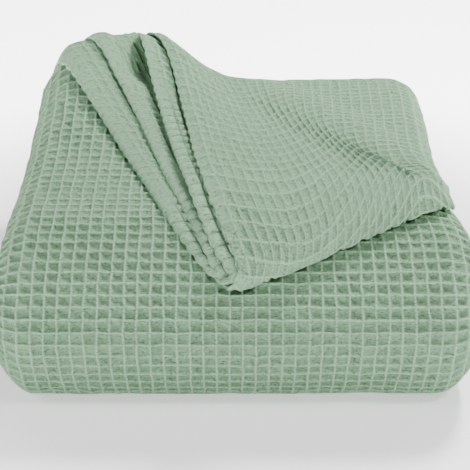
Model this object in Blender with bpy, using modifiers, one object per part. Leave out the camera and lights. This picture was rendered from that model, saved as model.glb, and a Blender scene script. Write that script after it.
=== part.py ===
"""Folded waffle weave cotton blanket.

One length of lofty cotton cloth, folded back and forth into a thick soft pack with a
rounded front, and a last bundle of four plies laid slantwise over the top of it.

Metres, +Z up.  +Y is the back of the stack, -Y the rounded front.  The blanket rests on
z = 0.  The whole blanket is one sheet: its middle surface is lofted along a path that
goes back and forth through the stack, and Solidify gives it the cloth's thickness.
"""

import math

import bpy

# ---- Driving dimensions -------------------------------------------------------------
CLOTH = 0.0036              # thickness of the lofty waffle cloth
NESTED_FOLDS = 10           # front folds nested in the pack, two plies each
CORE_HEIGHT = 0.068         # height of the innermost front fold
CORE_FRONT = -0.106         # y of the innermost front fold
CORE_GAP = 0.0048           # half the space kept open at the innermost fold
PACK_HEIGHT = 0.136         # top of the pack where it isn't puffed up
PACK_BACK = 0.160           # y where the back folds start
BACK_STAGGER = 0.003        # how unevenly the back folds end
STAGGER_TURN = 2.4          # radians of that unevenness from fold to fold
CORE_BULGE = 0.001          # how far the innermost fold stands out past the core's front
BULGE = 0.074               # how much further the outer face stands out
TOP_RUN_OUT = 0.035         # y from the core to where the top starts to round down
FLOOR_RUN_OUT = 0.030       # y from the core to where the bottom starts to round up
FRONT_SQUARENESS = 1.75     # exponent of the upper front curve, 2 being an ellipse

LEFT_END = -0.189           # x of the pack's left end
RIGHT_END = 0.178           # x of the pack's right end at the back
FRONT_SPREAD = 0.013        # how much further out the right end lies at the front
SPREAD_FROM_Y = -0.030      # y from where it spreads
SPREAD_LENGTH = 0.090       # length of the stack over which it spreads
END_ROUND_REACH = 0.026     # length over which an end rounds off
END_ROUND_SHARE = 0.26      # share of the pack's half height that an end loses there
END_ROUND_LIMIT = 1.1       # the rounding goes on this far where cloth passes the end
INNER_END_INSET = 0.014     # inner plies end this far inside the outer one
INSET_STAGGER = 0.002       # how unevenly they end
INSET_TURN = 1.9            # radians of that unevenness from fold to fold
FLOOR_DRAW_FROM = 3.6       # way from which the floor ply's ends draw in towards the back
TOP_DRAW_TO = 0.08          # way up to which the top ply's ends draw in from the back
TOP_DRAW = 0.009            # how far the top ply's ends draw in at its back fold

PUFF_FROM_Y = -0.065        # y where the top starts to rise towards the back
PUFF_LENGTH = 0.200         # length of the rise
BACK_ROUND_FROM = 0.132     # y where the top starts to round down at the back
BACK_ROUND_LENGTH = 0.036   # length over which it rounds down
BACK_ROUND_DROP = 0.008     # fall of the top at its back folds
BACK_ROUND_SHARE = 0.30     # share of the rise that is lost there as well
# Rise of the top at the back, over its height at the front: high at the left corner,
# where the plies puff up, and a little below it at the right.
PUFF = (
    # x      rise
    (-0.189, 0.036),
    (-0.176, 0.044),
    (-0.158, 0.056),
    (-0.135, 0.060),
    (-0.110, 0.055),
    (-0.080, 0.036),
    (-0.045, 0.012),
    (-0.005, -0.008),
    (0.178, -0.010),
)

BUNDLE_FIRST = 0.0064       # middle of the bundle's lowest ply above the pack
BUNDLE_PITCH = 0.0062       # from ply to ply in the bundle
FOLD_LEAN = 0.009           # the lowest ply folds this far ahead of the top one
INNER_FOLD_BACK = 0.012     # the inner fold lies this far behind the lowest ply's
FOLD_BULGE = 0.0075         # how far the outer fold stands out
FOLD_RIGHT_Y = -0.094       # y of the outer fold at the right end
LIFT_FADE = 2.8             # plies' lifted left edges fade in 1 part in this of the width
CREST_RISE = 0.006          # soft ridge that runs slantwise over the bundle
CREST_REACH = 0.045         # half the width of the ridge
CREST_START = (0.000, 0.165)    # x and y where the ridge leaves the back
CREST_END = (0.180, -0.085)     # x and y where it meets the front fold

# Left edges of the bundle's plies, fanned out at the back and meeting at the front tip:
# share of the way from the back to the fold, x, and lift off the ply below.
EDGE_LOWEST = (
    # share    x      lift
    (0.00, -0.179, 0.000),
    (0.05, -0.171, 0.000),
    (0.14, -0.153, 0.000),
    (0.42, -0.113, 0.000),
    (0.75, -0.064, 0.000),
    (1.00, -0.006, 0.000),
)
EDGE_SECOND = (
    (0.00, -0.142, 0.003),
    (0.14, -0.116, 0.002),
    (0.42, -0.085, 0.001),
    (0.75, -0.050, 0.000),
    (1.00, -0.012, 0.000),
)
EDGE_THIRD = (
    (0.00, -0.093, 0.010),
    (0.05, -0.094, 0.010),
    (0.14, -0.083, 0.011),
    (0.42, -0.064, 0.008),
    (0.75, -0.038, 0.003),
    (1.00, -0.008, 0.000),
)
EDGE_TOP = (
    (0.00, -0.087, 0.010),
    (0.05, -0.074, 0.011),
    (0.14, -0.060, 0.012),
    (0.42, -0.045, 0.010),
    (0.75, -0.026, 0.004),
    (1.00, 0.000, 0.000),
)
EDGES = (EDGE_LOWEST, EDGE_SECOND, EDGE_THIRD, EDGE_TOP)
LOWEST_PLY, SECOND_PLY, THIRD_PLY, TOP_PLY = range(len(EDGES))
RIGHT_INSETS = (0.008, 0.012, 0.012, 0.006)     # how far inside the stack the plies end
BUNDLE_THICKNESS = BUNDLE_PITCH * len(EDGES)
# Front fold of the bundle, slantwise over the pack: x, and the way from the back.
FRONT_FOLD = (
    # x     along
    (-0.020, 0.311),
    (0.010, 0.305),
    (0.050, 0.294),
    (0.110, 0.270),
    (0.150, 0.248),
    (0.194, 0.226),
)

# Stations across the cloth: from the left end, at fixed x, and from the right end.
FROM_LEFT = (0.0, 0.007, 0.015, 0.034)
AT_X = (-0.125, -0.098, -0.070, -0.040, -0.010, 0.035, 0.090)
FROM_RIGHT = (0.026, 0.012, 0.0)
LEAST_SPACING = 0.002       # between stations where a narrower ply crowds them
# Stations along the pack's plies.  0 to 1 is the top, 1 to 3 the front, 3 to 4 the floor.
TOP_WAY = (0.2, 0.4, 0.6, 0.8, 1.0)
FRONT_WAY = (1.2, 1.35, 1.5, 1.65, 1.8, 2.0, 2.2, 2.45, 2.7, 3.0)
OUTER_WAY = (0.04, 0.1) + TOP_WAY + FRONT_WAY + (3.06, 3.4, 3.75, 3.97)
INNER_WAY = TOP_WAY + (1.2, 1.5, 1.8, 2.0, 2.45, 2.7, 3.0, 3.5)
CORE_WAY = (0.3, 0.65, 1.0, 1.35, 1.75, 2.0, 2.45, 3.0, 3.5)
CORE_FROM_FOLD = 5          # folds from here on are small and flat
BUNDLE_SHARES = (0.08, 0.18, 0.30, 0.43, 0.56, 0.68, 0.80, 0.91, 1.0)
BACK_TURN = (0.0, 60.0, 120.0, 180.0)
INNER_FRONT_TURN = (60.0, 120.0)
OUTER_FRONT_TURN = (30.0, 60.0, 90.0, 120.0, 150.0)
OUTLINE_STEPS = 60
STACK_SHIFT = (-0.0009, 0.0068)     # puts the middle of the stack's box over the origin

COTTON_COLOUR = (0.39, 0.49, 0.39, 1.0)
COTTON_ROUGHNESS = 0.92


def ease(value):
    """Return a smooth step of a value held between 0 and 1."""
    held = min(max(value, 0.0), 1.0)
    return held * held * (3.0 - 2.0 * held)


def mix(low, high, share):
    """Return the value at a share of the way from low to high."""
    return low + (high - low) * share


def read_table(table, place, column):
    """Return one column of a table at a value of its first column, smoothly."""
    if place <= table[0][0]:
        return table[0][column]
    if place >= table[-1][0]:
        return table[-1][column]
    index = next(i for i in range(len(table) - 1) if table[i + 1][0] >= place)
    lower, upper = table[index], table[index + 1]
    before = table[max(index - 1, 0)]
    after = table[min(index + 2, len(table) - 1)]
    span = upper[0] - lower[0]
    part = (place - lower[0]) / span
    leave = (upper[column] - before[column]) / (upper[0] - before[0]) * span
    arrive = (after[column] - lower[column]) / (after[0] - lower[0]) * span
    rest = 1.0 - part
    return (
        lower[column] * (1 + 2 * part) * rest * rest
        + upper[column] * (3 - 2 * part) * part * part
        + leave * part * rest * rest
        - arrive * part * part * rest
    )


# ---- Section of the pack ------------------------------------------------------------
def outline(way, size):
    """Return (y, z) of the pack's section, size 1 being its outer face.

    Smaller sizes are the plies nested inside and larger ones the plies laid over it.
    """
    top_join = CORE_FRONT + TOP_RUN_OUT * size
    floor_join = CORE_FRONT - FLOOR_RUN_OUT * size
    front = CORE_FRONT - CORE_BULGE - BULGE * size
    rise = (PACK_HEIGHT - CORE_HEIGHT) * size
    if way <= 1.0:
        return mix(PACK_BACK, top_join, way), CORE_HEIGHT + rise
    if way <= 2.0:
        angle = math.radians(90.0 * (way - 1.0))
        power = 2.0 / FRONT_SQUARENESS
        y = mix(top_join, front, math.sin(angle) ** power)
        return y, CORE_HEIGHT + rise * max(math.cos(angle), 0.0) ** power
    if way <= 3.0:
        angle = math.radians(90.0 * (way - 2.0))
        y = mix(floor_join, front, math.cos(angle))
        return y, CORE_HEIGHT * (1.0 - size * math.sin(angle))
    return mix(floor_join, PACK_BACK, way - 3.0), CORE_HEIGHT * (1.0 - size)


def measure_front():
    """Return (length, way) pairs along the outer face, over the top and upper front."""
    pairs = [(0.0, 0.0)]
    length = PACK_BACK - CORE_FRONT - TOP_RUN_OUT
    pairs.append((length, 1.0))
    last = outline(1.0, 1.0)
    for step in range(1, OUTLINE_STEPS + 1):
        way = 1.0 + step / OUTLINE_STEPS
        point = outline(way, 1.0)
        length += math.dist(last, point)
        pairs.append((length, way))
        last = point
    return pairs


FRONT_LENGTHS = measure_front()


def way_at(along):
    """Return the way for a length measured over the pack's top from its back."""
    for (low, way_low), (high, way_high) in zip(FRONT_LENGTHS, FRONT_LENGTHS[1:]):
        if along <= high:
            return mix(way_low, way_high, (along - low) / (high - low))
    return 2.0


# ---- Shape of the whole stack -------------------------------------------------------
def right_end(y):
    """Return x of the stack's right end, which spreads towards the front."""
    return RIGHT_END + FRONT_SPREAD * ease((SPREAD_FROM_Y - y) / SPREAD_LENGTH)


def crest(x, y):
    """Return the rise of the soft ridge that runs slantwise over the bundle."""
    run_x = CREST_END[0] - CREST_START[0]
    run_y = CREST_END[1] - CREST_START[1]
    aside = (run_y * (x - CREST_START[0]) - run_x * (y - CREST_START[1])) / math.hypot(run_x, run_y)
    return CREST_RISE * ease(1.0 - abs(aside) / CREST_REACH)


def settle(x, y, z):
    """Move a point of the even stack to where the soft, uneven stack has it."""
    inside = min(x - LEFT_END, right_end(y) - x)
    rounding = min(max(1.0 - inside / END_ROUND_REACH, 0.0), END_ROUND_LIMIT)
    loss = END_ROUND_SHARE * rounding * rounding
    half = PACK_HEIGHT - CORE_HEIGHT
    share = min(max((z - CORE_HEIGHT) / half, -1.0), 1.0)
    y += max(CORE_FRONT - y, 0.0) * loss
    z -= share * half * loss
    climb = min(max((y - PUFF_FROM_Y) / PUFF_LENGTH, 0.0), 1.0)
    back = max((y - BACK_ROUND_FROM) / BACK_ROUND_LENGTH, 0.0)
    rise = read_table(PUFF, x, 1) * (climb * climb - BACK_ROUND_SHARE * back * back)
    lift = rise - BACK_ROUND_DROP * back * back
    share = max(share, 0.0)
    ridge = crest(x, y) * min(max((z - PACK_HEIGHT) / BUNDLE_THICKNESS, 0.0), 1.0)
    return (x, y, z + lift * share + ridge)


# ---- Stations of the sheet ----------------------------------------------------------
def columns(y, left, right):
    """Return the x of each station across a ply that reaches from left to right."""
    end = right_end(y)
    fixed = [LEFT_END + inset for inset in FROM_LEFT]
    fixed += list(AT_X)
    fixed += [end - inset for inset in FROM_RIGHT]
    last = len(fixed) - 1
    return [
        min(max(x, left + LEAST_SPACING * i), right - LEAST_SPACING * (last - i))
        for i, x in enumerate(fixed)
    ]


def row(y_and_z, left, right):
    """Return one row of points across the sheet.

    y_and_z gives the section's point for an x, left and right are the ply's ends.
    """
    middle_y = y_and_z(0.5 * (left + right))[0]
    points = []
    for x in columns(middle_y, left, right):
        y, z = y_and_z(x)
        points.append(settle(x, y, z))
    return points


def pack_size(fold):
    """Return the section's size for the middle of a nested fold's ply."""
    outermost = CLOTH / 2
    pitch = (CORE_HEIGHT - outermost - CORE_GAP) / (NESTED_FOLDS - 1)
    return 1.0 - (outermost + pitch * fold) / CORE_HEIGHT


def pack_row(way, fold):
    """Return a row of a nested fold's ply."""
    point = outline(way, pack_size(fold))
    inset = fold_inset(fold, way)
    return row(lambda x: point, LEFT_END + inset, right_end(point[0]) - inset)


def fold_ways(fold):
    """Return the stations along a nested fold."""
    if fold == 0:
        return OUTER_WAY
    return INNER_WAY if fold < CORE_FROM_FOLD else CORE_WAY


def turn_row(way, fold, next_fold, angle):
    """Return a row of the back turn that joins two nested folds."""
    start, end = pack_size(fold), pack_size(next_fold)
    share = (1.0 - math.cos(math.radians(angle))) / 2.0
    y, z = outline(way, mix(start, end, share))
    reach = abs(start - end) * CORE_HEIGHT / 2.0 * math.sin(math.radians(angle))
    y += reach + BACK_STAGGER * math.sin(STAGGER_TURN * fold + way)
    inset = mix(fold_inset(fold, way), fold_inset(next_fold, way), share)
    return row(lambda x: (y, z), LEFT_END + inset, right_end(y) - inset)


def fold_inset(fold, way):
    """Return how far a nested fold's ends lie inside the stack's ends.

    The outer ply's ends draw in towards its back folds, to meet the plies joined there.
    """
    if fold > 0:
        return INNER_END_INSET + INSET_STAGGER * math.sin(INSET_TURN * fold)
    top_draw = TOP_DRAW * ease(1.0 - way / TOP_DRAW_TO)
    return top_draw + INNER_END_INSET * ease((way - FLOOR_DRAW_FROM) / (4.0 - FLOOR_DRAW_FROM))


def bundle_height(ply):
    """Return the height of a bundle ply's middle over the pack, ply 0 being the lowest."""
    return BUNDLE_FIRST + BUNDLE_PITCH * ply


def bundle_front(ply):
    """Return how far behind the front fold's line a ply turns."""
    if ply in (SECOND_PLY, THIRD_PLY):
        return INNER_FOLD_BACK
    return FOLD_LEAN if ply == TOP_PLY else 0.0


def bundle_right(share):
    """Return x of the bundle's right end at a share of the way to its fold."""
    return right_end(mix(PACK_BACK, FOLD_RIGHT_Y, share))


def bundle_row(ply, share, turn=0.0, next_ply=None, outward=0.0):
    """Return a row of a bundle ply, or of the turn that joins it to the next one.

    turn runs from 0 on the ply to 1 on the next one, outward is how far it stands out.
    """
    other = ply if next_ply is None else next_ply
    left = mix(read_table(EDGES[ply], share, 1), read_table(EDGES[other], share, 1), turn)
    lift = mix(read_table(EDGES[ply], share, 2), read_table(EDGES[other], share, 2), turn)
    height = mix(bundle_height(ply), bundle_height(other), turn)
    behind = mix(bundle_front(ply), bundle_front(other), turn)
    right = bundle_right(share) - mix(RIGHT_INSETS[ply], RIGHT_INSETS[other], turn)

    def y_and_z(x):
        across = (x - left) / (right - left)
        along = share * (read_table(FRONT_FOLD, x, 1) - behind) + outward
        raised = height + lift * (1.0 - ease(across * LIFT_FADE))
        size = 1.0 + raised / (PACK_HEIGHT - CORE_HEIGHT)
        return outline(way_at(along), size)

    return row(y_and_z, left, right)


def front_turn(ply, next_ply, bulge, angles):
    """Return the rows of a bundle's front fold."""
    rows = []
    for angle in angles:
        turn = (1.0 - math.cos(math.radians(angle))) / 2.0
        rows.append(bundle_row(ply, 1.0, turn, next_ply, bulge * math.sin(math.radians(angle))))
    return rows


def back_turn(ply, next_ply, angles):
    """Return the rows of the back fold between two plies of the bundle."""
    rows = []
    reach = (bundle_height(next_ply) - bundle_height(ply)) / 2.0
    for angle in angles:
        turn = (1.0 - math.cos(math.radians(angle))) / 2.0
        rows.append(bundle_row(ply, 0.0, turn, next_ply, -reach * math.sin(math.radians(angle))))
    return rows


def joining_turn(angles):
    """Return the rows of the back fold from the bundle's lowest ply to the pack's top."""
    rows = []
    start = 1.0 + bundle_height(LOWEST_PLY) / (PACK_HEIGHT - CORE_HEIGHT)
    end = pack_size(0)
    for angle in angles:
        share = (1.0 - math.cos(math.radians(angle))) / 2.0
        y, z = outline(0.0, mix(start, end, share))
        y += (start - end) * CORE_HEIGHT / 2.0 * math.sin(math.radians(angle))
        left = mix(EDGE_LOWEST[0][1], LEFT_END + TOP_DRAW, share)
        right = right_end(y) - mix(RIGHT_INSETS[LOWEST_PLY], TOP_DRAW, share)
        rows.append(row(lambda x, y=y, z=z: (y, z), left, right))
    return rows


def sheet_rows():
    """Return every row of the sheet, from the bundle's free end to the pack's."""
    rows = []
    rows += [bundle_row(SECOND_PLY, share) for share in (0.0,) + BUNDLE_SHARES]
    rows += front_turn(SECOND_PLY, THIRD_PLY, BUNDLE_PITCH / 2.0, INNER_FRONT_TURN)
    rows += [bundle_row(THIRD_PLY, share) for share in reversed(BUNDLE_SHARES)]
    rows += back_turn(THIRD_PLY, TOP_PLY, BACK_TURN)
    rows += [bundle_row(TOP_PLY, share) for share in BUNDLE_SHARES]
    rows += front_turn(TOP_PLY, LOWEST_PLY, FOLD_BULGE, OUTER_FRONT_TURN)
    rows += [bundle_row(LOWEST_PLY, share) for share in reversed(BUNDLE_SHARES)]
    rows += joining_turn(BACK_TURN)
    for fold in range(NESTED_FOLDS):
        ways = fold_ways(fold)
        goes_down = fold % 2 == 0
        ordered = ways if goes_down else tuple(reversed(ways))
        rows += [pack_row(way, fold) for way in ordered]
        end_way = 4.0 if goes_down else 0.0
        if fold + 1 < NESTED_FOLDS:
            rows += [turn_row(end_way, fold, fold + 1, angle) for angle in BACK_TURN]
        else:
            rows.append(pack_row(end_way, fold))
    return rows


# ---- Objects ------------------------------------------------------------------------
def clear_scene():
    """Remove every object of the scene."""
    for existing in list(bpy.data.objects):
        bpy.data.objects.remove(existing, do_unlink=True)


def cotton_material():
    """Return the sage cotton's material."""
    material = bpy.data.materials.new("sage_cotton")
    material.use_nodes = True
    shader = material.node_tree.nodes["Principled BSDF"]
    shader.inputs["Base Color"].default_value = COTTON_COLOUR
    shader.inputs["Roughness"].default_value = COTTON_ROUGHNESS
    shader.inputs["Metallic"].default_value = 0.0
    return material


def loft(rows):
    """Return the triangles between rows, split alike in plies that lie on each other."""
    wide = len(rows[0])
    triangles = []
    for i, (line, next_line) in enumerate(zip(rows, rows[1:])):
        for j in range(wide - 1):
            start = i * wide + j
            start_right, end = start + 1, start + wide
            end_right = end + 1
            starts_behind = line[j][1] + line[j][2] > next_line[j][1] + next_line[j][2]
            if starts_behind:
                triangles += [(start, start_right, end_right), (start, end_right, end)]
            else:
                triangles += [(start, start_right, end), (start_right, end_right, end)]
    return triangles


def build_blanket(collection):
    """Loft the sheet through its rows and give it the cloth's thickness."""
    rows = sheet_rows()
    shift_x, shift_y = STACK_SHIFT
    points = [(x + shift_x, y + shift_y, z) for line in rows for x, y, z in line]
    mesh = bpy.data.meshes.new("blanket")
    mesh.from_pydata(points, [], loft(rows))
    mesh.materials.append(cotton_material())
    mesh.shade_smooth()
    blanket = bpy.data.objects.new("blanket", mesh)
    collection.objects.link(blanket)
    solidify = blanket.modifiers.new("cloth_thickness", "SOLIDIFY")
    solidify.thickness = CLOTH
    solidify.offset = 0.0
    solidify.use_even_offset = False
    solidify.use_rim = True
    return blanket


def main():
    """Build the folded blanket in its own collection."""
    clear_scene()
    collection = bpy.data.collections.new("waffle_blanket")
    bpy.context.scene.collection.children.link(collection)
    build_blanket(collection)


main()
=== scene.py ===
"""Looks of a folded waffle weave cotton blanket.

The cloth follows the folded solid: a thick pack of nested folds with a rounded front, and over
it a bundle of four plies, fanned out at the left and turned under in a slanting front fold.
Each stretch of cloth is a thin closed sheet whose waffle cells are modelled as real relief.
Metres, +Z up, -Y the front.
"""

import logging
import math
from dataclasses import dataclass, field
from enum import Enum

import bpy
import numpy as np
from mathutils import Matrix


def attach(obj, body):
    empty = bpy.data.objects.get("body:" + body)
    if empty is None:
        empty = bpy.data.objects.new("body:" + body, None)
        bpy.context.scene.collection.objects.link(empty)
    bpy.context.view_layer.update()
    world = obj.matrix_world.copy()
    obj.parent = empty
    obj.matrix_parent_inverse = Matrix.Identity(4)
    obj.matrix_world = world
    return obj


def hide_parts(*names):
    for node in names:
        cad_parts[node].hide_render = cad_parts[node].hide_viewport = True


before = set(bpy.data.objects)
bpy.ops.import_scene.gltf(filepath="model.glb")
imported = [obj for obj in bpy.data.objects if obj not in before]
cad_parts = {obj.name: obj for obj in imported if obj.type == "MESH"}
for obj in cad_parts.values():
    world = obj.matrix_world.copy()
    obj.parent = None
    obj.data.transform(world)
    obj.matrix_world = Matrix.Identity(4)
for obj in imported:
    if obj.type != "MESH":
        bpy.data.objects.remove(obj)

LOG = logging.getLogger("blanket")
BODY = "root"
NODE = "blanket"
# Mesh attribute of painted shade: its tone is darker at the ridges' foot, in the pits and in the
# grooves, and lightest on ridge tops.
PAINTED_SHADE_LAYER = "tone"
CLOTH_LAYER = "cloth"
LAST_WAY = 4.0
TINY = 1e-12
# A mix node's colour sockets go by number, because its other kinds share their names.
MIX_SHARE, MIX_LOW, MIX_HIGH, MIXED = 0, 6, 7, 2

Table = tuple[tuple[float, ...], ...]
Values = np.ndarray | float
Pair = tuple[float, float]
Point = tuple[float, float, float]
Colour = tuple[float, float, float, float]
Inputs = dict[str | int, object]

WAVES: Table = (
    # across  along   turn  weight
    (0.31, 0.17, 1.0, 0.32),
    (-0.19, 0.23, 2.1, 0.32),
    (0.83, -0.41, 3.3, 0.18),
    (0.53, 0.71, 1.0, 0.18),
)


class Ply(Enum):
    """The four plies of the bundle, from the pack upwards."""

    LOWEST = 0
    SECOND = 1
    THIRD = 2
    TOP = 3


# ---- Small numeric helpers --------------------------------------------------------------
def ease(value: Values) -> np.ndarray:
    """Return a smooth step of values held between 0 and 1."""
    held = np.clip(value, 0.0, 1.0)
    return held * held * (3.0 - 2.0 * held)


def mix(low: Values, high: Values, share: Values) -> Values:
    """Return the values at a share of the way from low to high."""
    return low + (high - low) * share


def half_turn(angle: Values) -> Values:
    """Return the share turned, 0 to 1, for an angle from 0 to pi."""
    return (1.0 - np.cos(angle)) / 2.0


def wander(across: np.ndarray, along: np.ndarray, turn: float) -> np.ndarray:
    """Return smooth, repeatable unevenness between about -1 and 1.

    Args:
        across: Places across the cloth, in cells.
        along: Places along the cloth, in cells.
        turn: Phase that tells one piece's unevenness from another's.

    Returns:
        The unevenness at each place.
    """
    return sum(
        weight * np.sin(right * across + down * along + phase * turn)
        for right, down, phase, weight in WAVES
    )


def read_table(table: Table, place: Values, column: int) -> np.ndarray:
    """Read one column of a table smoothly.

    Args:
        table: Rows that start with their place.
        place: Where to read it.
        column: Which column to read.

    Returns:
        The column's values at those places.
    """
    rows = np.asarray(table, dtype=float)
    keys, values = rows[:, 0], rows[:, column]
    held = np.clip(place, keys[0], keys[-1])
    low = np.clip(np.searchsorted(keys, held, side="left") - 1, 0, len(keys) - 2)
    before, after = np.maximum(low - 1, 0), np.minimum(low + 2, len(keys) - 1)
    high = low + 1
    span = keys[high] - keys[low]
    part = (held - keys[low]) / span
    leave = (values[high] - values[before]) / (keys[high] - keys[before]) * span
    arrive = (values[after] - values[low]) / (keys[after] - keys[low]) * span
    rest = 1.0 - part
    return (
        values[low] * (1 + 2 * part) * rest * rest
        + values[high] * (3 - 2 * part) * part * part
        + leave * part * rest * rest
        - arrive * part * part * rest
    )


# ---- Form of the folded stack -----------------------------------------------------------
@dataclass(frozen=True)
class Stack:
    """Sizes and form of the folded stack, as its solid has them."""

    core_height: float = 0.068
    core_front: float = -0.106
    core_gap: float = 0.0048
    pack_height: float = 0.136
    pack_back: float = 0.160
    core_bulge: float = 0.001
    bulge: float = 0.074
    top_run_out: float = 0.035
    floor_run_out: float = 0.030
    front_squareness: float = 1.75
    solid_cloth: float = 0.0036
    nested_folds: int = 10
    left_end: float = -0.189
    back_right_end: float = 0.178
    front_spread: float = 0.013
    spread_from_y: float = -0.030
    spread_length: float = 0.090
    end_round_reach: float = 0.026
    end_round_share: float = 0.26
    right_round_share: float = 0.15
    end_round_limit: float = 1.1
    inner_end_inset: float = 0.014
    puff_from_y: float = -0.065
    puff_length: float = 0.200
    back_round_from: float = 0.132
    back_round_length: float = 0.036
    back_round_drop: float = 0.008
    back_round_share: float = 0.30
    puff: Table = (
        # x      rise
        (-0.189, 0.036),
        (-0.176, 0.044),
        (-0.158, 0.056),
        (-0.135, 0.060),
        (-0.110, 0.055),
        (-0.080, 0.036),
        (-0.045, 0.012),
        (-0.005, -0.009),
        (0.060, -0.006),
        (0.178, -0.003),
    )
    bundle_first: float = 0.0064
    bundle_pitch: float = 0.0062
    crest_rise: float = 0.006
    crest_reach: float = 0.045
    crest_fade: float = 0.060
    crest_start: Pair = (0.000, 0.165)
    crest_end: Pair = (0.180, -0.085)
    shift: Pair = (-0.0009, 0.0068)
    length_steps: int = 800

    @property
    def half_height(self) -> float:
        """Return the height from the middle of the pack to its top."""
        return self.pack_height - self.core_height

    def outline(self, way: Values, size: Values) -> tuple[np.ndarray, np.ndarray]:
        """Return y and z of the pack's section.

        Args:
            way: 0 to 1 is the top, 1 to 3 the rounded front, 3 to 4 the floor.
            size: 1 is the outer face, less the plies nested in it, more those laid over it.

        Returns:
            The y and z of each place.
        """
        way, size = np.broadcast_arrays(np.asarray(way, dtype=float), np.asarray(size, dtype=float))
        top_join = self.core_front + self.top_run_out * size
        floor_join = self.core_front - self.floor_run_out * size
        front = self.core_front - self.core_bulge - self.bulge * size
        rise = self.half_height * size
        power = 2.0 / self.front_squareness
        upper = np.radians(90.0 * np.clip(way - 1.0, 0.0, 1.0))
        lower = np.radians(90.0 * np.clip(way - 2.0, 0.0, 1.0))
        stretches = [way <= 1.0, way <= 2.0, way <= 3.0]
        y = np.select(
            stretches,
            [
                mix(self.pack_back, top_join, way),
                mix(top_join, front, np.sin(upper) ** power),
                mix(floor_join, front, np.cos(lower)),
            ],
            mix(floor_join, self.pack_back, way - 3.0),
        )
        z = np.select(
            stretches,
            [
                self.core_height + rise,
                self.core_height + rise * np.maximum(np.cos(upper), 0.0) ** power,
                self.core_height * (1.0 - size * np.sin(lower)),
            ],
            self.core_height * (1.0 - size),
        )
        return y, z

    def lengths(self, size: float) -> tuple[np.ndarray, np.ndarray]:
        """Return how the cloth's length grows along the pack's section.

        Args:
            size: The section's size.

        Returns:
            Ways, and the length up to each of them, from the back over the top.
        """
        ways = np.linspace(0.0, LAST_WAY, self.length_steps)
        y, z = self.outline(ways, size)
        pieces = np.hypot(np.diff(y), np.diff(z))
        return ways, np.concatenate([[0.0], np.cumsum(pieces)])

    def way_at(self, along: np.ndarray) -> np.ndarray:
        """Return the ways of places on the outer face.

        Args:
            along: Lengths over the outer face from its back.

        Returns:
            The way of each of them.
        """
        ways, lengths = self.lengths(1.0)
        behind = along / (self.pack_back - self.core_front - self.top_run_out)
        return np.where(along < 0.0, behind, np.interp(along, lengths, ways))

    def right_end(self, y: Values) -> np.ndarray:
        """Return x of the stack's right end, which spreads towards the front."""
        spread = ease((self.spread_from_y - y) / self.spread_length)
        return self.back_right_end + self.front_spread * spread

    def crest(self, x: np.ndarray, y: np.ndarray) -> np.ndarray:
        """Return the rise of the soft ridge that runs slantwise over the bundle.

        Args:
            x: Places across.
            y: Places from front to back.

        Returns:
            The rise at each place.
        """
        run_x = self.crest_end[0] - self.crest_start[0]
        run_y = self.crest_end[1] - self.crest_start[1]
        aside = run_y * (x - self.crest_start[0]) - run_x * (y - self.crest_start[1])
        ridge = ease(1.0 - np.abs(aside) / math.hypot(run_x, run_y) / self.crest_reach)
        return self.crest_rise * ridge * ease((self.right_end(y) - x) / self.crest_fade)

    def settle(self, x: np.ndarray, y: np.ndarray, z: np.ndarray) -> np.ndarray:
        """Move points of the even stack to where the soft, uneven stack has them.

        Args:
            x: Places across.
            y: Places from front to back.
            z: Heights.

        Returns:
            The settled points, with x, y and z on the last axis.
        """
        x, y, z = np.broadcast_arrays(x, y, z)
        inside = np.minimum(x - self.left_end, self.right_end(y) - x)
        rounding = np.clip(1.0 - inside / self.end_round_reach, 0.0, self.end_round_limit)
        share = np.clip((z - self.core_height) / self.half_height, -1.0, 1.0)
        upper = np.maximum(share, 0.0)
        upper_right = ease(x / self.back_right_end) * upper
        loss = mix(self.end_round_share, self.right_round_share, upper_right) * rounding * rounding
        y = y + np.maximum(self.core_front - y, 0.0) * loss
        z = z - share * self.half_height * loss
        climb = np.clip((y - self.puff_from_y) / self.puff_length, 0.0, 1.0)
        back = np.maximum((y - self.back_round_from) / self.back_round_length, 0.0)
        puff = read_table(self.puff, x, 1)
        rise = puff * (climb * climb - self.back_round_share * back * back)
        lift = (rise - self.back_round_drop * back * back) * upper
        above = np.clip((z - self.pack_height) / (len(Ply) * self.bundle_pitch), 0.0, 1.0)
        z = z + lift + self.crest(x, y) * above
        return np.stack([x + self.shift[0], y + self.shift[1], z], axis=-1)

    def fold_size(self, fold: int) -> float:
        """Return the section's size for the middle of a nested fold's ply.

        Args:
            fold: The fold, counted from the outermost, 0.

        Returns:
            The size, below 1.
        """
        outermost = self.solid_cloth / 2
        pitch = (self.core_height - outermost - self.core_gap) / (self.nested_folds - 1)
        return 1.0 - (outermost + pitch * fold) / self.core_height


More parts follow.
